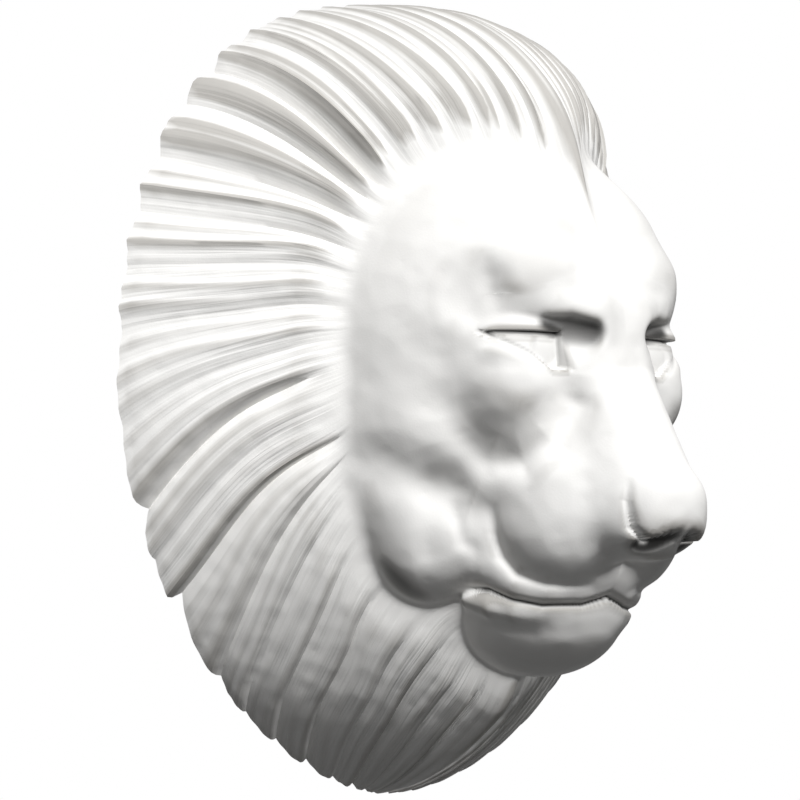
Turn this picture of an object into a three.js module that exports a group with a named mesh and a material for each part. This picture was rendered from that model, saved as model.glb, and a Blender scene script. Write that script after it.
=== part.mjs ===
import * as THREE from 'three';

// A lion head wall mask, cast in one piece with a flat back.
//
// Frame, in mm: the origin is the middle of the flat back, which lies in the plane Y = 0.
// +Z is up and the lion looks along -Y.  Both halves are alike, so every form is given by
// three numbers: x, the distance from the middle plane; f, the distance forward from the
// wall; and z, the height.  The forms are given for a head CARVED_HEIGHT tall.

const HEIGHT = 400; // tip of the beard to the top of the mane
const CARVED_HEIGHT = 400;

// the mane: half width, depth and half height of its full form
const MANE_HALF = [188, 168, 200];
const MANE_SQUARE = { up: 2.34, down: 1.82 }; // fullness of its outline above and below
const MANE_RIDGE = 1.04; // fullness of its level sections, 1 is a plain gable
const MANE_ROUNDING = 0.46; // added to that at the top of the head
const MANE_ROUNDED = [95, 200]; // heights between which it is added
const MANE_SINK = 4; // depth of the hair's mean surface below the full form
const HAIRLINE_SINK = 2.5; // further depth of the hair where it meets the face
const HAIRLINE_REACH = 24; // how far from the face a lock takes to rise

// angles from the top of the head, in degrees, of the grooves between the locks of one side:
// where they leave the face, and where they reach the wall
const GROOVE_ROOTS = [
  4, 8, 13, 17.5, 22, 27, 31.5, 37, 39, 43, 51, 57, 65.5,
  71, 76, 84, 92, 97, 107, 120, 133, 147, 156, 165, 172,
];
const GROOVE_ENDS = [
  2.5, 5, 8.5, 13, 18.5, 24, 29, 36.6, 44, 54, 63, 72, 82,
  97, 111, 119, 126.5, 142, 149.5, 157, 164, 170, 174, 176.5, 178.5,
];
// depths of those grooves below the crests of the locks
const GROOVE_DEPTHS = [
  2.5, 2.2, 3, 2.2, 3, 2.5, 4.5, 10.5, 9, 9.5, 6.5, 4, 4,
  2.5, 8.5, 2, 9, 4, 2, 3, 4, 2.5, 3.5, 2.5, 3,
];
// share of the way from the face to the wall at which each groove starts
const GROOVE_STARTS = [
  0, 0, 0, 0, 0, 0, 0, 0, 0, 0, 0, 0, 0.1,
  0.25, 0.3, 0.4, 0, 0, 0.1, 0.1, 0, 0, 0, 0, 0,
];
const GROOVE_ROOT = 0.35; // share of its depth that a groove has at the face
const GROOVE_GROWN = 0.3; // share of the way in which it grows to its depth
const GROOVE_FADE = { high: 0.42, low: 0.1 }; // share of its depth that it loses at the wall
const LOW_LOCKS = [80, 125]; // angles at the wall between which locks turn from high to low
const CREST_LEVEL = 4.6; // height of the crests above the hair's mean surface
const CREST_PLACE = { high: 0.62, low: 0.82 }; // share across a lock at which it is highest
const CREST_ROUND = { high: 1.2, low: 2.2 }; // how round its sides are, 1 is a plain slope

// egg forms: centre x, f, z and half sizes along x, f, z
const SKULL = [0, 60, 20, 101, 107, 124];
const FOREHEAD_LOBE = [31, 107, 60, 34, 53, 46];
const TEMPLE_HOLLOW = [78, 150, 46, 15, 20, 20];
const CHEEKBONE = [52, 72, -34, 43, 44, 50];
const MUZZLE_ROOT = [0, 112, -34, 58, 52, 48];
const JOWL = [46, 78, -76, 32, 34, 34];
const EYE_BAG = [43, 130, -1, 28, 32, 30];
const WHISKER_PAD = [21, 147, -71, 28, 36, 34];
const NOSE_WING = [17, 190, -74, 9, 13, 10];
const CHIN = [0, 114.5, -113, 38, 45.5, 32.3];

// block forms: centre, half sizes and squareness, 2 is an egg and more is squarer
const MUZZLE = [0, 118, -70, 42, 57, 34, 2.4];
const BROW = [30, 125, 46, 31, 36, 18, 2.6];
const BROW_LIFT = [31, 0.22]; // x about which the brow tilts, and its rise outwards
const NOSE = [0, 192, -66, 25, 28, 24, 2.5];
const NOSE_UNDERSIDE = [219, -77, 0.562, 0.827]; // f and z of a point on it, slope forward and down

// round rods and cords: each point is x, f, z and radius
const BROW_EDGE = [[66, 124, 44, 2], [50, 143, 41, 7], [34, 156, 38, 9], [15, 164, 34, 9]];
const BRIDGE = [[0, 157, 34, 14], [0, 163, 2, 15], [0, 194, -58, 17]];
const BRIDGE_FLAT = 9; // half width of the bridge's level top
const MUZZLE_FLANK = [[16, 137, 2, 22], [22, 151, -46, 25], [14, 176, -68, 20]];
const INNER_LID = [[12, 152, 10, 12], [13, 153, -10, 16]];
const CHEEK_FOLD = [[34, 112, -80, 18], [46, 84, -80, 24]];
const THROAT = [[0, 100, -96, 37], [0, 50, -80, 52]];
const EYE_SOCKET = [[31, 171, 20, 6], [56, 160, 20, 8]];
const EYE_PIT = [[41, 159, 28, 1.5], [30, 165, 26, 5], [20, 170, 25, 4]];
const FURROW = [[0, 177, 40, 3], [0, 166, 96, 3]];
const MOUTH_CORNER = [[80, 80, -92, 1], [69, 88, -108, 4], [54, 98, -119, 4]];
const NOSTRIL = [[4, 216, -81, 3], [11, 208, -84, 5], [16, 200, -86, 4]];

// long hollows seen from the side of the nose: their half width, and points that each are
// f less x, z and depth
const CREASES = [
  { width: 7, points: [[74, 66, 0], [77, 52, 1.6], [82, 43, 1.6]] },
  { width: 14, points: [[0, -40, 5], [45, -52, 7], [62, -56, 2]] },
  { width: 7, points: [[34, -50, 1.5], [34, -85, 1.5]] },
  { width: 16, points: [[44, 26, 0], [44, 10, 4], [46, -10, 5], [52, -30, 2]] },
  { width: 9, points: [[52, -26, 0], [66, -35, 3], [92, -35, 3], [122, -20, 1]] },
];

// lips and mouth line: level ovals about a centre, each point an angle from the front,
// a height and a radius
const LIP_CENTRE = 108; // f of the centre of the ovals
const UPPER_LIP = {
  half: [37, 48.5],
  points: [
    [0, -95, 12], [20, -99.5, 12], [40, -101.5, 12], [58, -99.5, 12], [76, -92, 12], [100, -84, 12],
  ],
};
const LOWER_LIP = {
  half: [41.5, 46],
  points: [[0, -111, 5], [20, -114, 5], [45, -114.5, 5], [60, -114, 5.5], [76, -112, 5], [95, -108, 3]],
};
const MOUTH_LINE = {
  half: [46, 56],
  points: [
    [0, -107, 3], [20, -111.5, 3], [45, -112, 3], [62, -109, 3], [79, -103, 2.5], [93, -102, 1],
  ],
};

// the eye
const EYE_CENTRE = [39, 132, 14];
const EYE_RADIUS = 27;
const SOCKET_BACK = 138; // f to which the opening between the lids is cleared
const LID_THICKNESS = 3.6;
const LID_EDGE = 2; // half the width of the step from the upper lid to the eyeball
const LID_SWELL = 10; // distance in which the lower lid swells to its thickness
const LID_TOP = 25; // height of the upper lid's level edge
const LID_BOTTOM = 6.5; // lowest height of the lower lid's edge
const LID_SLANT = [38, 0.62]; // x where the lower edge starts to rise, and its slope
const LID_INNER = 30.5; // x of the inner corner
const IRIS_HEIGHT = 15.5;
const IRIS_RADIUS = 9;
const IRIS_FLAT = 0.9; // depth to which the front of the eyeball is pressed flat

// how softly the forms run into each other, in mm
const SOFT = { broad: 20, face: 14, muzzle: 12, lobe: 10, lip: 8, small: 6, crease: 4, line: 3 };

// the grid: rings from the nose to the wall, and columns to each lock
const RINGS = 48;
const COLUMN_SHARES = [0, 0.7]; // places of the columns across a lock, from its upper groove

// the fan of lines of sight that the rings are cast along: share of the rings, f and z of
// the point that the lines leave from, and their angle from straight ahead at the top, the
// side and the bottom of the ring
const FAN = [
  [0.00, 165, -82, 0, 0, 0],
  [0.10, 165, -82, 26, 36, 38],
  [0.20, 165, -82, 38, 68, 74],
  [0.30, 146, -70, 32, 71, 80],
  [0.40, 118, -55, 28, 68, 82],
  [0.50, 88, -40, 27, 64, 83],
  [0.60, 60, -25, 29, 62, 83],
  [0.70, 34, -12, 36, 62, 82],
  [0.79, 16, -4, 43, 62, 81],
  [0.90, 2, 0, 62, 74, 84],
  [1.00, 0, 0, 90, 90, 90],
];
const FLOW_START = { side: 0.7, bottom: 0.5 }; // shares of the rings where locks leave the face
const FLOW_POWER = { high: 1.7, low: 0.85 }; // how late locks bend, high and low on the head
const LOCKS_START = [0.3, 0.74]; // shares between which the columns gather into locks
const FAN_REACH = 250; // length of a line of sight
const CAST_STEP = [1.5, 14, 0.6]; // least and greatest step inwards, and share of the clearance
const CAST_ROUNDS = 7; // rounds that close in on the surface

const PLASTER = { color: 0xf1efea, roughness: 0.85, metalness: 0 };

const { PI, abs, min, max, cos, sin, exp, hypot, floor } = Math;

function clamp(value, low, high) {
  return min(max(value, low), high);
}

function mix(a, b, t) {
  return a + (b - a) * t;
}

function smooth(low, high, value) {
  const t = clamp((value - low) / (high - low), 0, 1);
  return t * t * (3 - 2 * t);
}

function radians(degrees) {
  return degrees * PI / 180;
}

// two forms run together over a softness k
function join(a, b, k) {
  const h = clamp(0.5 + 0.5 * (b - a) / k, 0, 1);
  return mix(b, a, h) - k * h * (1 - h);
}

// form b taken out of form a, with an edge softened over k
function cut(a, b, k) {
  return -join(-a, b, k);
}

// clearance of a point from an egg form, negative inside it
function egg(x, f, z, form) {
  const [cx, cf, cz, rx, rf, rz] = form;
  const a = (x - cx) / rx;
  const b = (f - cf) / rf;
  const c = (z - cz) / rz;
  const reach = hypot(a, b, c);
  return reach * (reach - 1) / (hypot(a / rx, b / rf, c / rz) + 1e-9);
}

function block(x, f, z, form) {
  const [cx, cf, cz, rx, rf, rz, p] = form;
  const a = abs(x - cx) / rx;
  const b = abs(f - cf) / rf;
  const c = abs(z - cz) / rz;
  return ((a ** p + b ** p + c ** p) ** (1 / p) - 1) * min(rx, rf, rz);
}

function rod(x, f, z, from, to) {
  const dx = to[0] - from[0];
  const df = to[1] - from[1];
  const dz = to[2] - from[2];
  const along = (x - from[0]) * dx + (f - from[1]) * df + (z - from[2]) * dz;
  const t = clamp(along / (dx * dx + df * df + dz * dz), 0, 1);
  const away = hypot(x - from[0] - dx * t, f - from[1] - df * t, z - from[2] - dz * t);
  return away - mix(from[3], to[3], t);
}

function cord(x, f, z, points) {
  let clearance = Infinity;
  for (let i = 0; i + 1 < points.length; i++) {
    clearance = min(clearance, rod(x, f, z, points[i], points[i + 1]));
  }
  return clearance;
}

// the points of a level oval of the lips as points of a cord
function ovalCord({ half, points }) {
  return points.map(([angle, z, radius]) => {
    const turn = radians(angle);
    return [half[0] * sin(turn), LIP_CENTRE + half[1] * cos(turn), z, radius];
  });
}

const UPPER_LIP_CORD = ovalCord(UPPER_LIP);
const LOWER_LIP_CORD = ovalCord(LOWER_LIP);
const MOUTH_CORD = ovalCord(MOUTH_LINE);

// depth of the long hollows: that of the nearest place on each, fading like a bell
function creases(x, f, z) {
  const across = (f - x) * Math.SQRT1_2;
  let total = 0;
  for (const { width, points } of CREASES) {
    let deepest = 0;
    for (let i = 0; i + 1 < points.length; i++) {
      const from = points[i];
      const to = points[i + 1];
      const da = (to[0] - from[0]) * Math.SQRT1_2;
      const dz = to[1] - from[1];
      const a = across - from[0] * Math.SQRT1_2;
      const t = clamp((a * da + (z - from[1]) * dz) / (da * da + dz * dz), 0, 1);
      const away = hypot(a - da * t, z - from[1] - dz * t) / width;
      deepest = max(deepest, mix(from[2], to[2], t) * exp(-away * away));
    }
    total += deepest;
  }
  return total;
}

// clearance from the mane's full form: level sections are rounded gables, and the outline
// against the wall is a squared oval, fuller above than below
function mane(x, f, z) {
  const m = MANE_RIDGE + MANE_ROUNDING * smooth(...MANE_ROUNDED, z);
  const p = z > 0 ? MANE_SQUARE.up : MANE_SQUARE.down;
  const a = max(x, 0.5) / MANE_HALF[0];
  const b = max(f, 0.5) / MANE_HALF[1];
  const c = max(abs(z), 0.5) / MANE_HALF[2];
  const level = (a ** m + b ** m) ** (1 / m);
  const reach = (level ** p + c ** p) ** (1 / p);
  const outward = (level / reach) ** (p - 1);
  const slopeX = outward * (a / level) ** (m - 1) / MANE_HALF[0];
  const slopeF = outward * (b / level) ** (m - 1) / MANE_HALF[1];
  const slopeZ = (c / reach) ** (p - 1) / MANE_HALF[2];
  return (reach - 1) / hypot(slopeX, slopeF, slopeZ);
}

function forehead(x, f, z) {
  const [turnX, rise] = BROW_LIFT;
  let form = join(egg(x, f, z, SKULL), egg(x, f, z, FOREHEAD_LOBE), SOFT.lobe);
  form = cut(form, egg(x, f, z, TEMPLE_HOLLOW), SOFT.face);
  form = join(form, block(x, f, z - rise * (x - turnX), BROW), SOFT.face);
  form = join(form, cord(x, f, z, BROW_EDGE), SOFT.small);
  return cut(form, cord(x, f, z, FURROW), SOFT.muzzle);
}

function cheeks(x, f, z, form) {
  let face = join(form, egg(x, f, z, CHEEKBONE), SOFT.broad);
  face = join(face, egg(x, f, z, MUZZLE_ROOT), SOFT.broad);
  face = join(face, egg(x, f, z, JOWL), SOFT.broad);
  return join(face, cord(x, f, z, CHEEK_FOLD), SOFT.face);
}

function muzzle(x, f, z, form) {
  const ridge = join(cord(max(x - BRIDGE_FLAT, 0), f, z, BRIDGE), cord(x, f, z, MUZZLE_FLANK), SOFT.broad);
  let face = join(form, ridge, SOFT.face);
  face = join(face, block(x, f, z, MUZZLE), SOFT.muzzle);
  face = cut(face, cord(x, f, z, EYE_SOCKET), SOFT.small + SOFT.line);
  face = join(face, cord(x, f, z, INNER_LID), SOFT.small);
  face = join(face, egg(x, f, z, EYE_BAG), SOFT.small);
  return join(face, egg(x, f, z, WHISKER_PAD), SOFT.lip);
}

function nose(x, f, z) {
  const [edgeF, edgeZ, forward, down] = NOSE_UNDERSIDE;
  const underside = forward * (f - edgeF) - down * (z - edgeZ);
  const form = join(block(x, f, z, NOSE), egg(x, f, z, NOSE_WING), SOFT.crease);
  return cut(form, -underside, SOFT.crease);
}

function jaw(x, f, z) {
  const form = join(egg(x, f, z, CHIN), cord(x, f, z, THROAT), SOFT.muzzle);
  return join(form, cord(x, f, z, LOWER_LIP_CORD), SOFT.lip);
}

// the eyeball with its pressed iris, and the lids around the opening: a step up to the upper
// lid, and a soft swell to the lower one
function eye(x, f, z, form) {
  const [cx, cf, cz] = EYE_CENTRE;
  const reach = hypot(x - cx, f - cf, z - cz);
  const lower = LID_BOTTOM - z + max(0, x - LID_SLANT[0]) * LID_SLANT[1];
  const beside = max(lower, LID_INNER - x);
  const socket = max(form, -max(z - LID_TOP, beside, SOCKET_BACK - f));
  const shut = max(smooth(-LID_EDGE, LID_EDGE, z - LID_TOP), smooth(0, LID_SWELL, beside));
  const iris = IRIS_FLAT * smooth(1, -1, hypot(x - cx, z - IRIS_HEIGHT) - IRIS_RADIUS);
  return join(socket, reach - EYE_RADIUS - LID_THICKNESS * shut + iris, SOFT.line);
}

function head(x, f, z) {
  let form = muzzle(x, f, z, cheeks(x, f, z, forehead(x, f, z)));
  form = join(form, nose(x, f, z), SOFT.small);
  form = join(form, jaw(x, f, z), SOFT.line);
  form = join(form, cord(x, f, z, UPPER_LIP_CORD), SOFT.lip);
  form = cut(form, cord(x, f, z, MOUTH_CORD), SOFT.line);
  form = cut(form, cord(x, f, z, MOUTH_CORNER), SOFT.small);
  form = cut(form, cord(x, f, z, NOSTRIL), SOFT.crease);
  form = cut(form, cord(x, f, z, EYE_PIT), SOFT.crease);
  return eye(x, f, z, form) + creases(x, f, z);
}

// head and mane together, with the height that a lock has here
function mask(x, f, z, lock) {
  const face = head(x, f, z);
  const hair = mane(x, f, z);
  const risen = smooth(0, HAIRLINE_REACH, face - hair);
  const relief = lock * risen - MANE_SINK - HAIRLINE_SINK * (1 - risen);
  return join(face, hair - relief, SOFT.crease);
}

// the fan's values at a share t of the rings, run smoothly through its rows
function fanAt(t) {
  let row = 0;
  while (row < FAN.length - 2 && t > FAN[row + 1][0]) row++;
  const before = FAN[max(row - 1, 0)];
  const from = FAN[row];
  const to = FAN[row + 1];
  const after = FAN[min(row + 2, FAN.length - 1)];
  const span = to[0] - from[0];
  const w = (t - from[0]) / span;
  return from.map((value, i) => {
    const leave = (to[i] - before[i]) / (to[0] - before[0]) * span;
    const arrive = (after[i] - value) / (after[0] - from[0]) * span;
    const rise = w * w * (3 - 2 * w);
    const bend = w * (w - 1) * (w - 1) * leave + w * w * (w - 1) * arrive;
    return mix(value, to[i], rise) + bend;
  });
}

// distance along a line of sight at which it last meets the mask
function lastMeeting(line, lock) {
  const clearance = (s) => {
    const f = line.f + line.df * s;
    const z = line.z + line.dz * s;
    return mask(abs(line.dx * s), f, z, lock);
  };
  const [least, greatest, share] = CAST_STEP;
  let outer = FAN_REACH;
  let outerValue = clearance(outer);
  let inner = outer;
  let innerValue = outerValue;
  while (inner > least && innerValue > 0) {
    outer = inner;
    outerValue = innerValue;
    inner -= clamp(innerValue * share, least, greatest);
    innerValue = clearance(inner);
  }
  for (let round = 0; round < CAST_ROUNDS; round++) {
    const part = clamp(innerValue / (innerValue - outerValue), 0.1, 0.9);
    const middle = mix(inner, outer, part);
    const value = clearance(middle);
    if (value > 0) {
      outer = middle;
      outerValue = value;
    } else {
      inner = middle;
      innerValue = value;
    }
  }
  return (inner + outer) / 2;
}

// angles of the grooves of both sides, once around from the top
function bothSides(degrees) {
  const angles = degrees.map(radians);
  const mirrored = angles.map((angle) => 2 * PI - angle).reverse();
  return [...angles, ...mirrored, angles[0] + 2 * PI];
}

const ROOTS = bothSides(GROOVE_ROOTS);
const ENDS = bothSides(GROOVE_ENDS);
const LOCKS = 2 * GROOVE_ROOTS.length;

function between(angles, place) {
  const step = floor(place);
  return mix(angles[step], angles[step + 1], place - step);
}

// columns of the grid: each has a lock, counted from the top on its own side, a share across
// it, a place among the grooves of both sides, and a share from 0 high up to 1 low down
function gridColumns() {
  const columns = [];
  for (let step = 0; step < LOCKS; step++) {
    const near = step < GROOVE_ROOTS.length;
    const lock = near ? step : LOCKS - 2 - step;
    const turned = COLUMN_SHARES.slice(1).map((share) => 1 - share).reverse();
    const shares = near ? COLUMN_SHARES : [0, ...turned];
    for (const share of shares) {
      const end = between(ENDS, step + share);
      const turn = min(end % (2 * PI), (2 * PI - end) % (2 * PI));
      const low = smooth(...LOW_LOCKS.map(radians), turn);
      columns.push({ lock, across: near ? share : 1 - share, place: step + share, low });
    }
  }
  return columns;
}

const COLUMNS = gridColumns();

// how far along its lock a column is at a share t of the rings, from 0 at the face to 1 at
// the wall
function columnFlow({ place }, t) {
  const down = max(-cos(between(ROOTS, place)), 0) ** 1.5;
  const start = mix(FLOW_START.side, FLOW_START.bottom, down);
  return clamp((t - start) / (1 - start), 0, 1);
}

// angle around the head of a column at a share t of the rings
function columnAngle(column, index, t) {
  const even = ROOTS[0] + 2 * PI * index / COLUMNS.length;
  const root = between(ROOTS, column.place);
  const down = max(-cos(root), 0) ** 1.5;
  const power = mix(FLOW_POWER.high, FLOW_POWER.low, smooth(0.5, -0.1, cos(root)));
  const lock = mix(root, between(ENDS, column.place), columnFlow(column, t) ** power);
  return mix(even, lock, smooth(LOCKS_START[0], LOCKS_START[1] - 0.2 * down, t));
}

// height of a column on its lock: it climbs out of the groove above to a crest past the
// middle and drops into the groove below; the lock over the forehead has one groove
function lockHeight({ lock, across, low }, flow) {
  const place = mix(CREST_PLACE.high, CREST_PLACE.low, low);
  const rising = across < place;
  const share = rising ? across / place : (1 - across) / (1 - place);
  const above = max(lock, 0);
  const groove = rising || lock < 0 ? above : min(above + 1, GROOVE_DEPTHS.length - 1);
  const start = GROOVE_STARTS[groove];
  const root = start > 0 ? 0 : GROOVE_ROOT;
  const fade = mix(GROOVE_FADE.high, GROOVE_FADE.low, low) * smooth(0.5, 1, flow);
  const along = mix(root, 1, smooth(0, GROOVE_GROWN, flow - start)) * (1 - fade);
  const bend = mix(CREST_ROUND.high, CREST_ROUND.low, low);
  return CREST_LEVEL - GROOVE_DEPTHS[groove] * (1 - share) ** bend * along;
}

function pointAt(line, s) {
  const scale = HEIGHT / CARVED_HEIGHT;
  return [line.dx * s * scale, -(line.f + line.df * s) * scale, (line.z + line.dz * s) * scale];
}

// one ring of points around the mask
function ring(t) {
  const [, f, z, top, side, bottom] = fanAt(t);
  const points = [];
  COLUMNS.forEach((column, index) => {
    const angle = columnAngle(column, index, t);
    const up = max(cos(angle), 0) ** 1.5;
    const down = max(-cos(angle), 0) ** 1.5;
    const cone = radians(side + (top - side) * up + (bottom - side) * down);
    const line = { f, z, dx: sin(cone) * sin(angle), df: cos(cone), dz: sin(cone) * cos(angle) };
    const height = lockHeight(column, columnFlow(column, t));
    points.push(pointAt(line, lastMeeting(line, height)));
  });
  return points;
}

// triangles of the grid: a fan at the nose, bands between the rings and a fan on the flat back
function gridFaces() {
  const faces = [];
  const nosePoint = 0;
  const across = COLUMNS.length;
  const backPoint = 1 + RINGS * across;
  const at = (row, column) => 1 + row * across + (column % across);
  for (let column = 0; column < across; column++) {
    faces.push(nosePoint, at(0, column + 1), at(0, column));
    for (let row = 0; row + 1 < RINGS; row++) {
      const here = at(row, column);
      const beside = at(row, column + 1);
      const outside = at(row + 1, column);
      const beyond = at(row + 1, column + 1);
      faces.push(here, beside, beyond, here, beyond, outside);
    }
    faces.push(backPoint, at(RINGS - 1, column), at(RINGS - 1, column + 1));
  }
  return faces;
}

function maskGeometry() {
  const [, f, z] = FAN[0];
  const ahead = { f, z, dx: 0, df: 1, dz: 0 };
  const points = [...pointAt(ahead, lastMeeting(ahead, 0))];
  for (let row = 1; row <= RINGS; row++) {
    points.push(...ring(row / RINGS).flat());
  }
  points.push(0, 0, 0);
  const geometry = new THREE.BufferGeometry();
  geometry.setAttribute('position', new THREE.Float32BufferAttribute(points, 3));
  geometry.setIndex(gridFaces());
  geometry.computeVertexNormals();
  return geometry;
}

function buildMask() {
  const mesh = new THREE.Mesh(maskGeometry(), new THREE.MeshStandardMaterial(PLASTER));
  mesh.name = 'lion_mask';
  const group = new THREE.Group();
  group.name = 'lion_head_wall_mask';
  group.add(mesh);
  return group;
}

export default buildMask();
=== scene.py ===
"""Lion head wall mask: the combed, carved surface of the white plaster cast.

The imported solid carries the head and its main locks.  Here the same forms are worked out
again on a much finer grid, with crisp eyelids, nostrils, lips and combed hair, and the
surface is dressed as dry cast plaster.

Forms are worked out in millimetres in the mask's own frame: x is the distance from the middle
plane, f the distance forward from the wall and z the height.  The mesh is in metres, with the
lion looking along -Y and the wall in the plane Y = 0.
"""

import logging
import math
from dataclasses import dataclass, field
from enum import Enum
from typing import Callable

import bpy
import numpy as np
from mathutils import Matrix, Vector

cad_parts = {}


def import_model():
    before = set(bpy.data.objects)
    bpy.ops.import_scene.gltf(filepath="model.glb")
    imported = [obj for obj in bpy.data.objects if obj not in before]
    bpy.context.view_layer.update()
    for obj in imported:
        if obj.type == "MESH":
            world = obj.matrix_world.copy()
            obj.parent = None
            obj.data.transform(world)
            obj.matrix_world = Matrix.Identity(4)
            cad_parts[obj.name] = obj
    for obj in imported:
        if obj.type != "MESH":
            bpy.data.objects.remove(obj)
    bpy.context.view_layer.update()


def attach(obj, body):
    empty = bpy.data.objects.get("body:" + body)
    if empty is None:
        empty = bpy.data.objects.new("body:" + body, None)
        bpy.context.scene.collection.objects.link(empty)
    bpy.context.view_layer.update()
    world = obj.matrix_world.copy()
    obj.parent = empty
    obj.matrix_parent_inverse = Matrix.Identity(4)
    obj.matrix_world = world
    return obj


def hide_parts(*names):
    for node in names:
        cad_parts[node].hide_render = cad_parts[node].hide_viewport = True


LOG = logging.getLogger("lion_mask")
MM = 0.001
LIP_CENTRE = 108.0  # how far forward the middle of the lips' oval lies
STEP_SHARE = 0.6  # share of the clearance by which a line of sight steps on
FARTHEST = 260.0  # how far a line of sight is followed
MOST_STEPS = 240  # most steps of a line of sight
CLOSINGS = 7  # how often a meeting is closed in on
Array = np.ndarray
Numbers = tuple[float, ...]
Inputs = dict[str | int, float | Numbers | bpy.types.NodeSocket]


class Detail(Enum):
    """How fine the surface grid is: about how many columns go around it, and how many rings."""

    DRAFT = (240, 110)
    FULL = (560, 174)


class Side(Enum):
    """The half of the head that a column lies on."""

    LEFT = 1
    RIGHT = -1


def mix(a: Array, b: Array, t: Array) -> Array:
    """Blend from a to b by the share t."""
    return a + (b - a) * t


def smooth(low: float, high: float, value: Array) -> Array:
    """Rise from 0 at low to 1 at high with level ends: 3 t squared minus 2 t cubed."""
    t = np.clip((value - low) / (high - low), 0.0, 1.0)
    return t * t * (3.0 - 2.0 * t)


def bell(away: Array, width: float) -> Array:
    """Fall like a bell from 1: e to the minus square of the distance in widths."""
    return np.exp(-((away / width) ** 2))


def lean(cosine: Array) -> Array:
    """How far a direction leans one way: the positive part of its cosine, to the power 1.5."""
    return np.maximum(cosine, 0.0) ** 1.5


def join(a: Array, b: Array, k: float) -> Array:
    """Run two forms together: the smaller clearance, rounded over a softness k."""
    h = np.clip(0.5 + 0.5 * (b - a) / k, 0.0, 1.0)
    return mix(b, a, h) - k * h * (1.0 - h)


def cut(a: Array, b: Array, k: float) -> Array:
    """Take form b out of form a, with an edge rounded over a softness k."""
    return -join(-a, b, k)


@dataclass(frozen=True)
class Places:
    """Points of the mask: distance from the middle plane, forward of the wall, and height."""

    x: Array
    f: Array
    z: Array

    def part(self, chosen: Array) -> "Places":
        """The chosen points alone."""
        return Places(self.x[chosen], self.f[chosen], self.z[chosen])


@dataclass(frozen=True, kw_only=True)
class Form:
    """A simple form, and how softly it runs into what it is added to or taken out of."""

    soft: float = 4.0

    def clearance(self, at: Places) -> Array:
        """Clearance of points: about how far they lie outside the form."""
        raise NotImplementedError

    def onto(self, base: Array, at: Places) -> Array:
        """Clearance from a base with this form added to it."""
        return join(base, self.clearance(at), self.soft)

    def out_of(self, base: Array, at: Places) -> Array:
        """Clearance from a base with this form taken out of it."""
        return cut(base, self.clearance(at), self.soft)


@dataclass(frozen=True)
class Egg(Form):
    """An egg form: centre and half sizes along x, f and z, in mm."""

    centre: Numbers
    half: Numbers

    def clearance(self, at: Places) -> Array:
        """Clearance of points: k (k - 1) / g, with k the scaled reach and g its slope."""
        spot = zip((at.x, at.f, at.z), self.centre, self.half)
        scaled = [(v - middle) / size for v, middle, size in spot]
        reach = np.sqrt(sum(v * v for v in scaled))
        slope = np.sqrt(sum((v / size) ** 2 for v, size in zip(scaled, self.half)))
        return reach * (reach - 1.0) / (slope + 1e-9)


@dataclass(frozen=True)
class Block(Form):
    """A squared egg: centre, half sizes, squareness, and a lift towards its outer end."""

    centre: Numbers
    half: Numbers
    square: float
    lift: float = 0.0

    def clearance(self, at: Places) -> Array:
        """Clearance of points: the p-norm of the scaled offsets, less 1, in the least half size."""
        z = at.z - self.lift * (at.x - self.centre[0])
        a = np.abs(at.x - self.centre[0]) / self.half[0]
        b = np.abs(at.f - self.centre[1]) / self.half[1]
        c = np.abs(z - self.centre[2]) / self.half[2]
        p = self.square
        return ((a**p + b**p + c**p) ** (1.0 / p) - 1.0) * min(self.half)


@dataclass(frozen=True)
class Cord(Form):
    """A chain of round rods: each point is x, f, z and radius; its top may be level across x."""

    points: tuple[Numbers, ...]
    level: float = 0.0

    def clearance(self, at: Places) -> Array:
        """Clearance of points: the least distance to a rod's line, less the radius there."""
        spot = (np.maximum(at.x - self.level, 0.0) if self.level else at.x, at.f, at.z)
        least = np.full(at.x.shape, np.inf)
        for start, end in zip(self.points, self.points[1:]):
            run = [b - a for a, b in zip(start[:3], end)]
            along = sum((v - a) * d for v, a, d in zip(spot, start, run))
            t = np.clip(along / sum(d * d for d in run), 0.0, 1.0)
            away = np.sqrt(sum((v - a - d * t) ** 2 for v, a, d in zip(spot, start, run)))
            least = np.minimum(least, away - mix(start[3], end[3], t))
        return least


@dataclass(frozen=True)
class Crease:
    """A line carved into both sides of the head, laid out as seen from 45 degrees aside.

    Each point holds f - x and z of the line and its depth there, all in mm.
    """

    points: tuple[Numbers, ...]
    width: float

    def depth(self, at: Places) -> Array:
        """Depth at points: that of the nearest place on the line, fading like a bell."""
        q, z = (at.f - at.x) * math.sqrt(0.5), at.z
        best = np.zeros(at.x.shape)
        for start, end in zip(self.points, self.points[1:]):
            q0, q1 = start[0] * math.sqrt(0.5), end[0] * math.sqrt(0.5)
            dq, dz = q1 - q0, end[1] - start[1]
            t = np.clip(((q - q0) * dq + (z - start[1]) * dz) / (dq * dq + dz * dz), 0.0, 1.0)
            away = (q - q0 - dq * t) ** 2 + (z - start[1] - dz * t) ** 2
            best = np.maximum(best, mix(start[2], end[2], t) * np.exp(-away / self.width**2))
        return best


def oval_cord(half: Numbers, points: tuple[Numbers, ...], soft: float = 8.0) -> Cord:
    """A cord along a level oval about the lips' centre.

    Args:
        half: Half sizes of the oval along x and f.
        points: For each point, the angle from the front in degrees, height and radius.
        soft: The cord's softness.

    Returns:
        The cord through those points.
    """
    turned = ((math.radians(angle), z, radius) for angle, z, radius in points)
    places = (
        (half[0] * math.sin(turn), LIP_CENTRE + half[1] * math.cos(turn), z, radius)
        for turn, z, radius in turned
    )
    return Cord(tuple(places), soft=soft)


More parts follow.
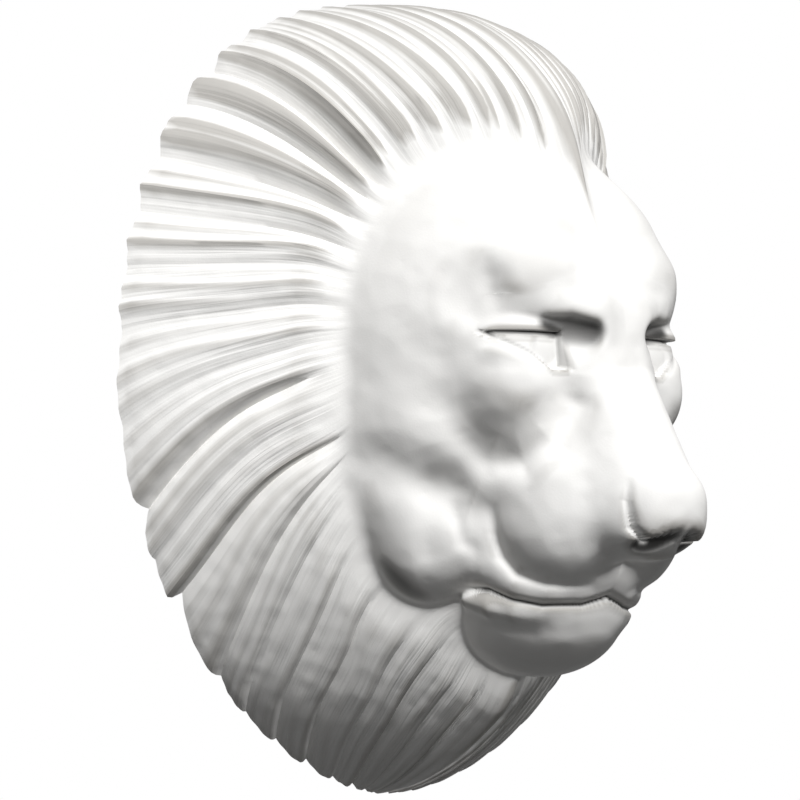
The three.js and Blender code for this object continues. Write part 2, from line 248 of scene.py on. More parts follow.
@dataclass(frozen=True)
class Eye:
    """The eyeball with its pressed iris, and the lids as a step up around the opening."""

    centre: Numbers = (39.0, 132.0, 14.0)
    radius: float = 27.0
    lid: float = 3.6
    edge: float = 0.5
    swell: float = 10.0
    top: float = 25.0
    bottom: float = 6.5
    slant_start: float = 38.0
    slant: float = 0.62
    inner: float = 30.5
    outer: float = 66.0
    gap: float = 2.0
    gap_depth: float = 5.0
    gap_shade: Numbers = (2.6, 0.9)
    corner_shade: float = 0.5
    edge_shade: float = 0.3
    socket_front: float = 6.0
    iris_height: float = 15.5
    iris_radius: float = 9.0
    iris_depth: float = 1.3

    def outside(self, x: Array, z: Array) -> Array:
        """Distance outside the opening: the most of the top, slanted bottom and inner edges."""
        lower = (self.bottom - z + np.maximum(0.0, x - self.slant_start) * self.slant) * 0.9
        return np.maximum(np.maximum(z - self.top, lower), self.inner - x)

    def shut(self, x: Array, z: Array) -> Array:
        """How thick the lid is, from 0 in the opening to 1.

        It is a full crisp step above the opening, and elsewhere it swells softly.
        """
        outside = self.outside(x, self.below_top(z))
        above = smooth(-self.edge, self.edge, z - self.top)
        return np.maximum(above, smooth(0.0, self.swell, outside))

    def below_top(self, z: Array) -> Array:
        """Heights kept a little below the opening's top."""
        return np.minimum(z, self.top - 2.0)

    # painted shade in the eye: the gap under the upper lid, the inner corner and the lower lid line
    def painted_line_shade(self, at: Places) -> Array:
        """1 in the gap under the upper lid's edge, less in the corner and along the lower lid."""
        share = np.clip((at.x - self.inner) / (self.outer - self.inner), 0.0, 1.0)
        high = at.z - self.top
        between = smooth(-0.8, 0.4, high + mix(*self.gap_shade, share)) * smooth(0.6, -0.2, high)
        across = smooth(self.inner - 1.5, self.inner, at.x) * smooth(self.outer, self.outer - 4.0, at.x)
        under = smooth(1.0, -1.0, high)
        tall = smooth(self.bottom - 1.0, self.bottom + 1.0, at.z) * under
        corner = self.corner_shade * bell(at.x - self.inner - 0.4, 0.8) * tall
        line = bell(self.outside(at.x, self.below_top(at.z)), 0.8) * under
        edge = self.edge_shade * line * smooth(self.inner - 1.0, self.inner, at.x)
        deep = np.maximum(np.maximum(between * across, corner), edge)
        return deep * (at.f > self.centre[1] - 10.0)

    def reach(self, at: Places) -> Array:
        """Distance from the middle of the eyeball."""
        cx, cf, cz = self.centre
        return np.sqrt((at.x - cx) ** 2 + (at.f - cf) ** 2 + (at.z - cz) ** 2)

    def closed(self, at: Places, form: Array) -> Array:
        """Clearance of the head with its lids closed: a ball joined to the face."""
        return join(form, self.reach(at) - self.radius - self.lid, 3.0)

    def carve(self, at: Places, form: Array) -> Array:
        """Open the socket and set the eyeball and lids in it.

        Args:
            at: The points.
            form: Clearance of the head before the eye is set.

        Returns:
            Clearance with the eye: a ball whose radius steps up by the lid outside the
            opening and drops into a narrow gap under the upper lid, less the flat pressed
            into the iris.
        """
        front = self.centre[1] + self.socket_front
        socket = cut(form, np.maximum(self.outside(at.x, at.z), front - at.f), 2.5)
        shut = self.shut(at.x, at.z)
        gap = self.gap_depth * smooth(-0.4, 0.6, at.z - self.top + self.gap) * (1.0 - shut)
        ring = np.hypot(at.x - self.centre[0], at.z - self.iris_height) - self.iris_radius
        iris = self.iris_depth * smooth(2.4, -2.4, ring)
        return join(socket, self.reach(at) - self.radius - self.lid * shut + gap + iris, 2.0)


@dataclass(frozen=True)
class Head:
    """The lion's face and skull, from broad forms to the carved lines."""

    skull: Egg = Egg((0, 60, 20), (101, 107, 124))
    lobe: Egg = Egg((31, 107, 60), (34, 53, 46), soft=10)
    temple: Egg = Egg((78, 150, 46), (15, 20, 20), soft=14)
    brow: Block = Block((30, 125, 46), (31, 36, 18), 2.6, 0.22, soft=14)
    brow_edge: Cord = Cord(
        ((66, 124, 44, 2), (50, 143, 41, 7), (34, 156, 38, 9), (15, 164, 34, 9)), soft=6
    )
    furrow: Cord = Cord(((0, 177, 40, 3), (0, 166, 96, 3)), soft=12)
    cheekbone: Egg = Egg((52, 72, -34), (43, 44, 50), soft=20)
    muzzle_root: Egg = Egg((0, 112, -34), (58, 52, 48), soft=20)
    jowl: Egg = Egg((46, 78, -76), (32, 34, 34), soft=20)
    cheek_fold: Cord = Cord(((34, 112, -80, 18), (46, 84, -80, 24)), soft=14)
    bridge: Cord = Cord(((0, 157, 34, 14), (0, 163, 2, 15), (0, 194, -58, 17)), 9.0, soft=14)
    flank: Cord = Cord(((16, 137, 2, 22), (22, 151, -46, 25), (14, 176, -68, 20)), soft=20)
    muzzle: Block = Block((0, 118, -70), (42, 57, 34), 2.4, soft=12)
    socket: Cord = Cord(((31, 171, 20, 6), (56, 160, 20, 8)), soft=9)
    bag: Egg = Egg((43, 130, -1), (28, 32, 30), soft=6)
    inner_lid: Cord = Cord(((12, 152, 10, 12), (13, 153, -10, 16)), soft=6)
    pad: Egg = Egg((21, 147, -71), (28, 36, 34), soft=8)
    nose: Block = Block((0, 192, -66), (25, 28, 24), 2.5, soft=6)
    wing: Egg = Egg((17, 190, -74), (9, 13, 10), soft=4)
    underside: Numbers = (219.0, -77.0, 0.562, 0.827)
    chin: Egg = Egg((0, 114.5, -113), (38, 45.5, 32.3))
    throat: Cord = Cord(((0, 100, -96, 37), (0, 50, -80, 52)), soft=12)
    upper_lip: Cord = oval_cord(
        (37, 48.5),
        (
            (0, -95, 12), (20, -99.5, 12), (40, -101.5, 12),
            (58, -99.5, 12), (76, -92, 12), (100, -84, 12),
        ),
    )  # fmt: skip
    lower_lip: Cord = oval_cord(
        (41.5, 46),
        ((0, -111, 5), (20, -114, 5), (45, -114.5, 5), (60, -114, 5.5), (76, -112, 5), (95, -108, 3)),
    )
    parting: float = 3.0
    mouth_half: Numbers = (46.0, 56.0)
    mouth_turns: Numbers = (0, 20, 45, 62, 79, 93)
    mouth_heights: Numbers = (-107, -111.5, -112, -109, -103, -102)
    mouth_width: float = 1.7
    mouth_depth: float = 2.4
    mouth_corner: Cord = Cord(((80, 80, -92, 1), (69, 88, -108, 4), (54, 98, -119, 4)), soft=5)
    nostril: Cord = Cord(((4, 216, -81, 3), (11, 208, -84, 5), (16, 200, -86, 4)))
    eye_pit: Cord = Cord(((41, 159, 28, 1.5), (30, 165, 26, 5), (20, 170, 25, 4)), soft=7)
    front: float = 60.0
    mouth_below: float = -60.0
    eye_heights: Numbers = (-30.0, 60.0)
    eye_front: float = 90.0
    creases: tuple[Crease, ...] = (
        Crease(
            (
                (79, -60, 0), (82, -76, 1.6), (87, -88, 2),
                (97, -97, 2), (118, -102, 1.6), (150, -103, 0.5),
            ),
            3,
        ),  # fmt: skip
        Crease(((52, -58, 0), (54, -68, 1), (59, -80, 1.2), (73, -87, 0.3)), 4),
        Crease(((178, -50, 0), (175, -62, 1.8), (178, -75, 2.2), (186, -81, 2)), 2.1),
        Crease(((74, 66, 0), (77, 52, 1.6), (82, 43, 1.6)), 7),
        Crease(((0, -40, 5), (45, -52, 7), (62, -56, 2)), 14),
        Crease(((34, -50, 1.5), (34, -85, 1.5)), 7),
        Crease(((44, 26, 0), (44, 10, 4), (46, -10, 5), (52, -30, 2)), 16),
        Crease(((76, 24, 0.5), (115, 7.6, 0.5), (127, 6, 0.5)), 1.3),
        Crease(
            (
                (47, -10, 0), (60, -28, 3), (78, -39, 5), (102, -40, 6),
                (124, -31, 6.5), (137, -12, 5), (139, 4, 0),
            ),
            9,
        ),  # fmt: skip
    )
    eye: Eye = Eye()

    def broad(self, at: Places) -> Array:
        """Clearance from the head's broad forms, before anything is carved into it."""
        form = self.lobe.onto(self.skull.clearance(at), at)
        form = self.temple.out_of(form, at)
        form = self.brow_edge.onto(self.brow.onto(form, at), at)
        form = self.furrow.out_of(form, at)
        for part in (self.cheekbone, self.muzzle_root, self.jowl, self.cheek_fold):
            form = part.onto(form, at)
        ridge = self.flank.onto(self.bridge.clearance(at), at)
        return self.muzzle.onto(join(form, ridge, self.bridge.soft), at)

    def nose_form(self, at: Places) -> Array:
        """Clearance from the nose: a squared egg with wings, cut off flat underneath."""
        edge_f, edge_z, forward, down = self.underside
        under = forward * (at.f - edge_f) - down * (at.z - edge_z)
        return cut(self.wing.onto(self.nose.clearance(at), at), -under, self.wing.soft)

    def jaw_form(self, at: Places) -> Array:
        """Clearance from the chin and throat."""
        return self.throat.onto(self.chin.clearance(at), at)

    def upper(self, at: Places) -> Array:
        """Clearance from all but the jaw, lips and eyes."""
        form = self.socket.out_of(self.broad(at), at)
        for part in (self.inner_lid, self.bag, self.pad):
            form = part.onto(form, at)
        return join(form, self.nose_form(at), self.nose.soft)

    def low_front(self, at: Places) -> Array:
        """Numbers of the points around the mouth and nose."""
        return np.nonzero((at.z < self.mouth_below) & (at.f > self.front))[0]

    def closed(self, at: Places) -> Array:
        """Clearance from the head with its eyes shut and its mouth filled level."""
        form, jaw = self.upper(at), self.jaw_form(at)
        low = self.low_front(at)
        near = at.part(low)
        lips = join(self.upper_lip.clearance(near), self.lower_lip.clearance(near), 16.0)
        form[low] = join(form[low], lips, 10.0)
        return self.eye.closed(at, join(form, jaw, 12.0))

    def off_mouth(self, x: Array, f: Array, z: Array) -> tuple[Array, Array]:
        """Height above the mouth line, and how fully the lips meet at that turn, from 0 to 1."""
        half_x, half_f = self.mouth_half
        turn = np.arctan2(x / half_x, (f - LIP_CENTRE) / half_f)
        line = np.interp(turn, np.radians(self.mouth_turns), self.mouth_heights)
        return z - line, smooth(1.68, 1.45, turn) * smooth(96.0, 108.0, f)

    # painted shade for the carved lines: mouth, its corner, nostrils, eye pits and the eyes
    def painted_line_shade(self, at: Places) -> Array:
        """How deep points lie in the carved lines that light hardly reaches, from 0 to 1."""
        away, met = self.off_mouth(at.x, at.f, at.z)
        deep = bell(away, 0.75 * self.mouth_width) * met
        for hole, most, rim, floor in (
            (self.mouth_corner, 0.9, 6.0, 0.0),
            (self.nostril, 1.0, 2.5, 0.0),
            (self.eye_pit, 0.95, 6.0, -1.0),
        ):
            deep = np.maximum(deep, most * smooth(rim, floor, hole.clearance(at)))
        return np.maximum(deep, self.eye.painted_line_shade(at))

    def clearance(self, at: Places) -> Array:
        """Clearance from the finished head; fine forms are worked out only near them."""
        form, jaw = self.upper(at), self.jaw_form(at)
        low = self.low_front(at)
        near = at.part(low)
        jaw[low] = self.lower_lip.onto(jaw[low], near)
        form = join(form, jaw, self.parting)
        lips = self.upper_lip.onto(form[low], near)
        away, met = self.off_mouth(near.x, near.f, near.z)
        lips += self.mouth_depth * bell(away, self.mouth_width) * met
        form[low] = self.nostril.out_of(self.mouth_corner.out_of(lips, near), near)
        bottom, top = self.eye_heights
        high = np.nonzero((at.z > bottom) & (at.z < top) & (at.f > self.eye_front))[0]
        near = at.part(high)
        form[high] = self.eye.carve(near, self.eye_pit.out_of(form[high], near))
        front = np.nonzero(at.f > self.front)[0]
        near = at.part(front)
        for crease in self.creases:
            form[front] += crease.depth(near)
        return form


@dataclass(frozen=True)
class Mane:
    """The mane's full form, and the locks combed into it."""

    half: Numbers = (188.0, 168.0, 200.0)
    square_up: float = 2.34
    square_down: float = 1.82
    ridge: float = 1.04
    rounding: float = 0.46
    rounded: Numbers = (95.0, 200.0)
    groove_sink: float = 4.0
    hairline_sink: float = 2.5
    hairline_reach: float = 24.0
    roots: Numbers = (
        4, 8, 13, 17.5, 22, 27, 31.5, 37, 39, 43, 51, 57, 65.5,
        71, 76, 84, 92, 97, 107, 120, 133, 147, 156, 165, 172,
    )  # fmt: skip
    ends: Numbers = (
        2.5, 5, 8.5, 13, 18.5, 24, 29, 36.6, 44, 54, 63, 72, 82,
        97, 111, 119, 126.5, 142, 149.5, 157, 164, 170, 174, 176.5, 178.5,
    )  # fmt: skip
    depths: Numbers = (
        2.5, 2.2, 3, 2.2, 3, 2.5, 4.5, 10.5, 9, 9.5, 6.5, 4, 4,
        2.5, 8.5, 2, 9, 4, 2, 3, 4, 2.5, 3.5, 2.5, 3,
    )  # fmt: skip
    starts: Numbers = (
        0, 0, 0, 0, 0, 0, 0, 0, 0, 0, 0, 0, 0.1,
        0.25, 0.3, 0.4, 0, 0, 0.1, 0.1, 0, 0, 0, 0, 0,
    )  # fmt: skip
    crest_level: float = 3.4
    crest_place: Numbers = (0.62, 0.82)
    crest_round: Numbers = (1.2, 2.2)
    low_locks: Numbers = (math.radians(80.0), math.radians(125.0))
    fading: Numbers = (0.42, 0.1)
    root_depth: float = 0.35
    strand_height: float = 0.7
    calm: float = 0.35
    calm_locks: Numbers = (math.radians(70.0), math.radians(115.0))
    wide_lock: float = math.radians(7.5)

    def crests(self, columns: "Columns", flow: Array) -> Array:
        """Height of the locks at every ring and column.

        Across a lock the surface climbs out of the upper groove, ever flatter, to a crest
        past the middle and drops fast into the lower groove; locks lower down are flatter and
        their crests nearer the lower groove.  Each groove has its depth and the place along
        the hair where it starts, and grows shallower towards the wall.
        """
        low = smooth(*self.low_locks, columns.turn())
        a, place = columns.across, mix(*self.crest_place, low)
        rising = a < place
        share = np.clip(np.where(rising, a / place, (1.0 - a) / (1.0 - place)), 0.0, 1.0)
        bend = mix(*self.crest_round, low)
        upper, last = np.maximum(columns.lock, 0), len(self.depths) - 1
        groove = np.where(rising | (columns.lock < 0), upper, np.minimum(upper + 1, last))
        depth, start = np.array(self.depths)[groove], np.array(self.starts)[groove]
        fade = mix(*self.fading, low)
        grown = smooth(0.0, 0.3, flow - start[None, :])
        root = np.where(start > 0.0, 0.0, self.root_depth)
        along = mix(root, 1.0, grown) * (1.0 - fade * smooth(0.5, 1.0, flow))
        return self.crest_level - depth * (1.0 - share) ** bend * along

    def strands(self, columns: "Columns", flow: Array) -> Array:
        """Height of the strands on the locks: waves across them that wander along the lock."""
        number = columns.lock.astype(float)
        drift = 0.22 * np.sin(4.5 * flow + 1.9 * number) + 0.1 * np.sin(9.0 * flow + number)
        held = np.where(columns.width > self.wide_lock, 3.0, 2.0)
        wave = np.sin(2.0 * np.pi * (held * columns.across + drift + 0.37 * number))
        edge = np.sin(np.pi * columns.across) ** 0.7
        calm = mix(1.0, self.calm, smooth(*self.calm_locks, columns.turn()))
        return self.strand_height * calm * wave * edge * smooth(0.0, 0.3, flow)

    def clearance(self, at: Places) -> Array:
        """Clearance from the mane without locks.

        Level sections are rounded gables, an m-norm of x and f.  With the height they make a
        p-norm, fuller above than below.  The norm less 1, over its slope, is the clearance.
        """
        m = self.ridge + self.rounding * smooth(*self.rounded, at.z)
        p = np.where(at.z > 0.0, self.square_up, self.square_down)
        a = np.maximum(at.x, 0.5) / self.half[0]
        b = np.maximum(at.f, 0.5) / self.half[1]
        c = np.maximum(np.abs(at.z), 0.5) / self.half[2]
        level = (a**m + b**m) ** (1.0 / m)
        reach = (level**p + c**p) ** (1.0 / p)
        outward = (level / reach) ** (p - 1.0)
        slope_x = outward * (a / level) ** (m - 1.0) / self.half[0]
        slope_f = outward * (b / level) ** (m - 1.0) / self.half[1]
        slope_z = (c / reach) ** (p - 1.0) / self.half[2]
        return (reach - 1.0) / np.sqrt(slope_x**2 + slope_f**2 + slope_z**2)


@dataclass(frozen=True)
class Columns:
    """The grid's columns once around the head.

    Attributes:
        lock: Number of the lock on its own side, counted from the top; -1 is the middle one.
        across: Share across the lock from its upper groove.
        root: Angle around the head where the column leaves the face, in radians.
        end: Angle around the head where it reaches the wall, in radians.
        even: Angle it would have if all columns were spaced alike.
        width: Width of its lock at the wall, in radians.
    """

    lock: Array
    across: Array
    root: Array
    end: Array
    even: Array
    width: Array

    @classmethod
    def around(cls, mane: Mane, count: int) -> "Columns":
        """Share a number of columns out among the locks by their widths.

        Args:
            mane: The mane whose grooves bound the locks.
            count: About how many columns there are in all.

        Returns:
            The columns of both sides, starting at the first groove beside the top.
        """
        roots = cls._both_sides(mane.roots)
        ends = cls._both_sides(mane.ends)
        steps = len(roots) - 1
        width = np.diff(roots) + np.diff(ends)
        shares = np.maximum(5, np.round(count * width / width.sum())).astype(int)
        place = np.concatenate([step + np.arange(k) / k for step, k in enumerate(shares)])
        step = np.floor(place).astype(int)
        near = step < len(mane.roots)
        lock = np.where(near, step, steps - 2 - step)
        across = np.where(near, place - step, 1.0 - (place - step))
        grid = np.arange(steps + 1)
        return cls(
            lock=lock,
            across=across,
            root=np.interp(place, grid, roots),
            end=np.interp(place, grid, ends),
            even=roots[0] + 2.0 * np.pi * np.arange(len(place)) / len(place),
            width=np.diff(ends)[step],
        )

    @staticmethod
    def _both_sides(degrees: Numbers) -> Array:
        """Groove angles of one side followed by their mirror images, once around."""
        near = np.radians(np.array(degrees, dtype=float))
        return np.concatenate([near, 2.0 * np.pi - near[::-1], [near[0] + 2.0 * np.pi]])

    @property
    def count(self) -> int:
        """How many columns there are."""
        return len(self.lock)

    def turn(self) -> Array:
        """Angle from the top at the wall, on the column's own side."""
        return np.minimum(self.end % (2.0 * np.pi), (2.0 * np.pi - self.end) % (2.0 * np.pi))


@dataclass(frozen=True)
class Fan:
    """The fan of lines of sight along which the rings are cast.

    Each row holds a share of the rings, f and z of the point the lines leave from, and their
    angle from straight ahead, in degrees, at the top, the side and the bottom of the ring.
    """

    rows: tuple[Numbers, ...] = (
        (0.00, 165, -82, 0, 0, 0),
        (0.10, 165, -82, 26, 36, 38),
        (0.20, 165, -82, 38, 68, 74),
        (0.30, 146, -70, 32, 71, 80),
        (0.40, 118, -55, 28, 68, 82),
        (0.50, 88, -40, 27, 64, 83),
        (0.60, 60, -25, 29, 62, 83),
        (0.70, 34, -12, 36, 62, 82),
        (0.79, 16, -4, 43, 62, 81),
        (0.90, 2, 0, 62, 74, 84),
        (1.00, 0, 0, 90, 90, 90),
    )
    flow_side: float = 0.7
    flow_bottom: float = 0.5
    power_high: float = 1.7
    power_low: float = 0.85
    gather: Numbers = (0.3, 0.74)
    gather_sooner: float = 0.2
    wander: float = math.radians(1.3)
    waves: float = 7.0

    def at(self, t: Array) -> Array:
        """Values of a row at shares t of the rings, run smoothly through the rows.

        Args:
            t: Shares of the rings.

        Returns:
            One row of five values for each share: Hermite curves whose slopes at a row are
            those between its neighbours.
        """
        rows = np.array(self.rows, dtype=float)
        keys, values = rows[:, 0], rows[:, 1:]
        k = np.clip(np.searchsorted(keys, t, side="left") - 1, 0, len(keys) - 2)
        before, after = np.maximum(k - 1, 0), np.minimum(k + 2, len(keys) - 1)
        span = (keys[k + 1] - keys[k])[:, None]
        w = ((t - keys[k]) / span[:, 0])[:, None]
        leave = (values[k + 1] - values[before]) / (keys[k + 1] - keys[before])[:, None] * span
        arrive = (values[after] - values[k]) / (keys[after] - keys[k])[:, None] * span
        bend = w * (w - 1.0) ** 2 * leave + w * w * (w - 1.0) * arrive
        return mix(values[k], values[k + 1], w * w * (3.0 - 2.0 * w)) + bend

    def flow(self, columns: Columns, t: Array) -> Array:
        """How far along its lock a ring is, from 0 at the face to 1 at the wall."""
        start = mix(self.flow_side, self.flow_bottom, lean(-np.cos(columns.root)))[None, :]
        return np.clip((t[:, None] - start) / (1.0 - start), 0.0, 1.0)

    def angles(self, columns: Columns, t: Array) -> Array:
        """Angles around the head of all columns at all rings.

        Spaced alike near the nose, the columns gather at the roots of the locks and then bend
        down with them: the higher a lock sits, the later it bends.  They wander a little.
        """
        power = mix(self.power_high, self.power_low, smooth(0.5, -0.1, np.cos(columns.root)))
        flow = self.flow(columns, t)
        locks = columns.root + (columns.end - columns.root) * flow ** power[None, :]
        first, last = self.gather
        late = (last - self.gather_sooner * lean(-np.cos(columns.root)) - first)[None, :]
        share = np.clip((t[:, None] - first) / late, 0.0, 1.0)
        wave = np.sin(self.waves * flow + 6.0 * columns.turn()) * np.sin(columns.root)
        locks = locks + self.wander * wave * 4.0 * flow * (1.0 - flow)
        return mix(columns.even[None, :], locks, share * share * (3.0 - 2.0 * share))


@dataclass(frozen=True)
class Sight:
    """Lines of sight: where they start and which way they run, one each for a grid point."""

    start: Array
    way: Array

    def places(self, s: Array, chosen: Array) -> Places:
        """The chosen lines' points at distances s, folded onto one side of the head."""
        point = self.start[chosen] + self.way[chosen] * s[:, None]
        return Places(np.abs(point[:, 0]), point[:, 1], point[:, 2])


Clearance = Callable[[Places, Array], Array]


def cast(sight: Sight, clearance: Clearance, outer: float, least: float, greatest: float) -> Array:
    """Find where lines of sight first meet a form when followed inwards.

    Each line steps inwards by a share of its clearance until it is inside the form, and the
    meeting is then closed in on between its last two steps.

    Args:
        sight: The lines.
        clearance: Clearance of places on the chosen lines.
        outer: Distance along every line at which to start.
        least: Smallest step inwards.
        greatest: Largest step inwards.

    Returns:
        The distance of the meeting along each line.
    """
    count = len(sight.start)
    high = np.full(count, outer)
    everything = np.arange(count)
    high_value = clearance(sight.places(high, everything), everything)
    low, low_value = high.copy(), high_value.copy()
    active = everything[low_value > 0.0]
    for _ in range(MOST_STEPS):
        if len(active) == 0:
            break
        high[active], high_value[active] = low[active], low_value[active]
        low[active] -= np.clip(low_value[active] * STEP_SHARE, least, greatest)
        low_value[active] = clearance(sight.places(low[active], active), active)
        active = active[(low_value[active] > 0.0) & (low[active] > outer - FARTHEST)]
    for _ in range(CLOSINGS):
        share = np.clip(low_value / (low_value - high_value - 1e-12), 0.1, 0.9)
        middle = mix(low, high, share)
        value = clearance(sight.places(middle, everything), everything)
        open_side = value > 0.0
        high, high_value = np.where(open_side, middle, high), np.where(open_side, value, high_value)
        low, low_value = np.where(open_side, low, middle), np.where(open_side, low_value, value)
    return 0.5 * (low + high)


@dataclass
class MaskSurface:
    """The finished surface of the mask as a grid of rings and columns."""

    detail: Detail
    head: Head = field(default_factory=Head)
    mane: Mane = field(default_factory=Mane)
    fan: Fan = field(default_factory=Fan)
    soft: float = 4.0
    eye_middle: Numbers = (45.0, 16.0)
    eye_reach: Numbers = (23.0, 37.0)
    eye_span: int = 4
    eye_look: Numbers = (0.1, 1.0, -0.2)
    mouth_middle: Numbers = (96.0, -109.0)
    mouth_look: float = -0.12
    closer_rings: tuple[Numbers, ...] = ((0.22, 0.07, 0.9), (0.55, 0.09, 1.1))

    def ring_shares(self) -> Array:
        """Shares of the rings, closer together over the mouth and over the eyes.

        The rings are spaced by the running sum of a density: 1, and more like a bell near the
        shares at which they cross the mouth and the eyes.
        """
        fine = np.linspace(0.0, 1.0, 2001)
        density = np.ones_like(fine)
        for middle, reach, extra in self.closer_rings:
            density += extra * bell(fine - middle, reach)
        total = np.concatenate([[0.0], np.cumsum(0.5 * (density[1:] + density[:-1]))])
        rings = self.detail.value[1]
        return np.interp(np.arange(1, rings + 1) / rings, total / total[-1], fine)

    def lines(self, t: Array, columns: Columns) -> Sight:
        """The fan's lines of sight for all rings and columns."""
        rows = self.fan.at(t)[:, None, :]
        angle = self.fan.angles(columns, t)
        top, side, bottom = np.moveaxis(rows[..., 2:], -1, 0)
        up, down = lean(np.cos(angle)), lean(-np.cos(angle))
        cone = np.radians(side + (top - side) * up + (bottom - side) * down)
        way = np.stack([np.sin(cone) * np.sin(angle), np.cos(cone), np.sin(cone) * np.cos(angle)], -1)
        start = np.zeros_like(way)
        start[..., 1] = rows[..., 0]
        start[..., 2] = rows[..., 1]
        return Sight(start.reshape(-1, 3), way.reshape(-1, 3))

    def eye_targets(self, point: Array) -> tuple[Array, Array]:
        """Straighten the grid over both eyes, so that its lines follow the lids.

        About each eye's middle the grid is turned until its rings run level, by an angle that
        dies away outwards, and there its spacing is made even.

        Args:
            point: The grid's points, ring by ring.

        Returns:
            The wanted x and z of every point, and how much each point is bound to them.
        """
        wanted = point[..., (0, 2)].copy()
        bound = np.zeros(point.shape[:2])
        middle_x, middle_z = self.eye_middle
        for side in Side:
            x, z = point[..., 0] * side.value, point[..., 2]
            away = np.hypot(x - middle_x, z - middle_z) + 1000.0 * (point[..., 1] < 100.0)
            i, j = np.unravel_index(np.argmin(away), away.shape)
            plan = np.stack([x, z], -1)
            k = self.eye_span
            along_i = (plan[i + k, j] - plan[i - k, j]) / (2.0 * k)
            along_j = (plan[i, j + k] - plan[i, j - k]) / (2.0 * k)
            rows, columns = np.meshgrid(*(np.arange(n) for n in away.shape), indexing="ij")
            step_i, step_j = np.hypot(*along_i), np.hypot(*along_j) * np.sign(along_j[0])
            level = np.stack([(columns - j) * step_j, (rows - i) * step_i], -1)
            turn = math.atan2(along_i[0], along_i[1])
            offset = plan - plan[i, j]
            near = smooth(self.eye_reach[1], self.eye_reach[0], np.hypot(*np.moveaxis(offset, -1, 0)))
            near *= smooth(90.0, 108.0, point[..., 1])
            blend = mix(offset, self._turned(level, -turn), near[..., None])
            moved = self._turned(blend, turn * near) + plan[i, j]
            chosen = near > 0.0
            wanted[chosen] = moved[chosen] * (side.value, 1.0)
            bound = np.maximum(bound, near)
        self._draw_to_lids(wanted, bound)
        return wanted, bound

    @staticmethod
    def _turned(plan: Array, angle: Array) -> Array:
        """Turn offsets anticlockwise by an angle."""
        cosine, sine = np.cos(angle), np.sin(angle)
        x, z = plan[..., 0], plan[..., 1]
        return np.stack([x * cosine - z * sine, x * sine + z * cosine], -1)

    def _draw_to_lids(self, plan: Array, near: Array) -> None:
        """Move points close to the upper lid's edge and the gap under it on to them."""
        eye = self.head.eye
        for line in (eye.top, eye.top - eye.gap):
            away = plan[..., 1] - line
            plan[..., 1] -= 0.6 * bell(away, 1.5) * away * near

    def ways(self, sight: Sight, point: Array, bound: Array) -> Array:
        """Directions that look straight into the eyes and the mouth.

        Around the eyes the lines run forward and a little down, around the mouth level and
        outward from the lips' centre, and elsewhere as in the fan.
        """
        x, f, z = point[:, 0], point[:, 1], point[:, 2]
        middle_f, middle_z = self.mouth_middle
        out, ahead, up = self.eye_look
        side = np.sign(x) + (x == 0.0)
        eye_way = np.stack([out * side, np.full_like(x, ahead), np.full_like(x, up)], -1)
        to_mouth = (smooth(30.0, 12.0, np.abs(z - middle_z)) * smooth(80.0, 104.0, f))[:, None]
        spread = np.hypot(x, f - middle_f) + 1e-6
        mouth_way = np.stack([x, f - middle_f, self.mouth_look * spread], -1) / spread[:, None]
        way = mix(mix(sight.way, eye_way, smooth(0.0, 0.8, bound)[:, None]), mouth_way, to_mouth)
        return way / np.linalg.norm(way, axis=1, keepdims=True)

    def _draw_to_mouth(self, point: Array) -> None:
        """Move points close to the mouth line up or down towards it."""
        away, met = self.head.off_mouth(np.abs(point[:, 0]), point[:, 1], point[:, 2])
        point[:, 2] -= 0.65 * bell(away, 3.2) * away * met

    def shape(self) -> "MaskGrid":
        """Work out the whole surface.

        The fan's lines first find the head with eyes and mouth closed.  The grid is then
        straightened over the eyes on that form, and from just outside it new lines find the
        finished carving.

        Returns:
            The grid's points in mm, the rise of the hair and the painted shade of the carved lines.
        """
        columns = Columns.around(self.mane, self.detail.value[0])
        t = self.ring_shares()
        size = (len(t), columns.count)
        flow = self.fan.flow(columns, t)
        relief = (self.mane.crests(columns, flow) + self.mane.strands(columns, flow)).reshape(-1)
        fan = self.lines(t, columns)

        def uncarved(at: Places, chosen: Array) -> Array:
            """Clearance from the closed head and the plain mane."""
            return join(self.head.closed(at), self.mane.clearance(at) + 2.0, 6.0)

        def carved(at: Places, chosen: Array) -> Array:
            """Clearance from the finished head and the locks."""
            face, hair = self.head.clearance(at), self.mane.clearance(at)
            risen = smooth(0.0, self.mane.hairline_reach, face - hair)
            height = relief[chosen] * risen - self.mane.groove_sink
            return join(face, hair - height + self.mane.hairline_sink * (1.0 - risen), self.soft)

        reach = cast(fan, uncarved, 250.0, 1.5, 14.0)
        point = fan.start + fan.way * reach[:, None]
        wanted, bound = self.eye_targets(point.reshape(*size, 3))
        wanted, bound = wanted.reshape(-1, 2), bound.reshape(-1)
        way = self.ways(fan, point, bound)
        for _ in range(3):
            miss = (wanted - point[:, (0, 2)]) * (bound > 0.0)[:, None]
            point[:, (0, 2)] += miss
            again = Sight(point, way)
            point = point + way * cast(again, uncarved, 30.0, 0.8, 8.0)[:, None]
        self._draw_to_mouth(point)
        final = Sight(point, way)
        point = point + way * cast(final, carved, 20.0, 0.4, 4.0)[:, None]
        at = Places(np.abs(point[:, 0]), point[:, 1], point[:, 2])
        risen = smooth(0.0, self.mane.hairline_reach, self.head.clearance(at) - self.mane.clearance(at))
        grid = point.reshape(*size, 3)
        grid[-1, :, 1] = 0.0
        # painted shade in the carved lines, passed on to the material
        painted_line_shade = self.head.painted_line_shade(at) * (at.f > self.head.front)
        return MaskGrid(grid, columns, flow, risen.reshape(size), painted_line_shade.reshape(size))


